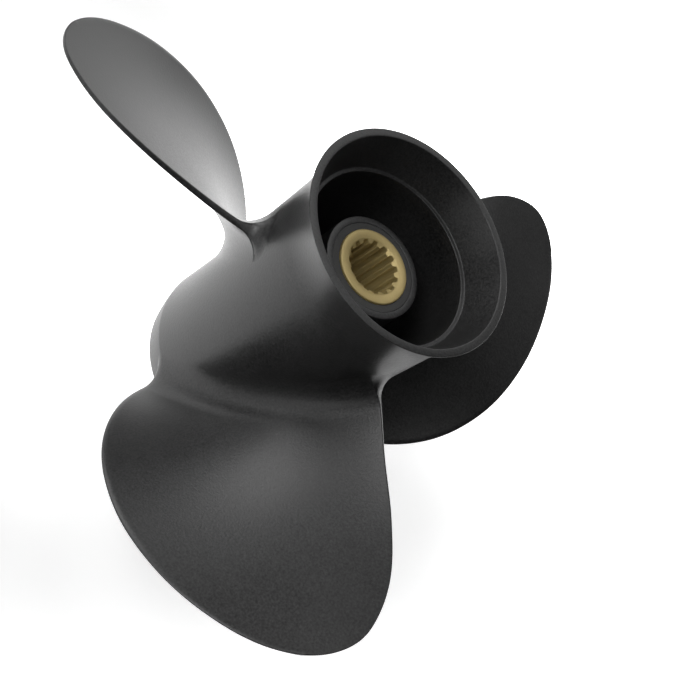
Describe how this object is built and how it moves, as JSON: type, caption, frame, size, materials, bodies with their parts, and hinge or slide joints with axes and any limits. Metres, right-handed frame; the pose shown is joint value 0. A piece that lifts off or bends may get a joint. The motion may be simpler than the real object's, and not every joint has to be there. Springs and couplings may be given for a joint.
{
  "type": "outboard boat propeller",
  "caption": "Right-hand three-blade boat propeller with a flared exhaust ring, ribbed hollow hub, rubber bush and splined brass sleeve.",
  "frame": {"origin": "on the shaft axis, in the plane of the hub's front lip, which the part stands on", "axes": "+Z along the shaft axis from the front lip to the flared ring at the aft end; +Y along the generator line of blade_1"},
  "size_m": [0.2964, 0.298, 0.162],
  "materials": {
    "casting_paint": "satin black paint with a fine grain over cast aluminium",
    "bush_rubber": "matt moulded rubber",
    "sleeve_brass": "dull turned brass"
  },
  "bodies": {
    "root": {"outer_hub": "casting_paint", "flared_ring": "casting_paint", "blade_1": "casting_paint", "blade_2": "casting_paint", "blade_3": "casting_paint", "inner_hub": "casting_paint", "rib_1": "casting_paint", "rib_2": "casting_paint", "rib_3": "casting_paint", "rubber_bush": "bush_rubber", "splined_sleeve": "sleeve_brass"}
  },
  "joints": []
}
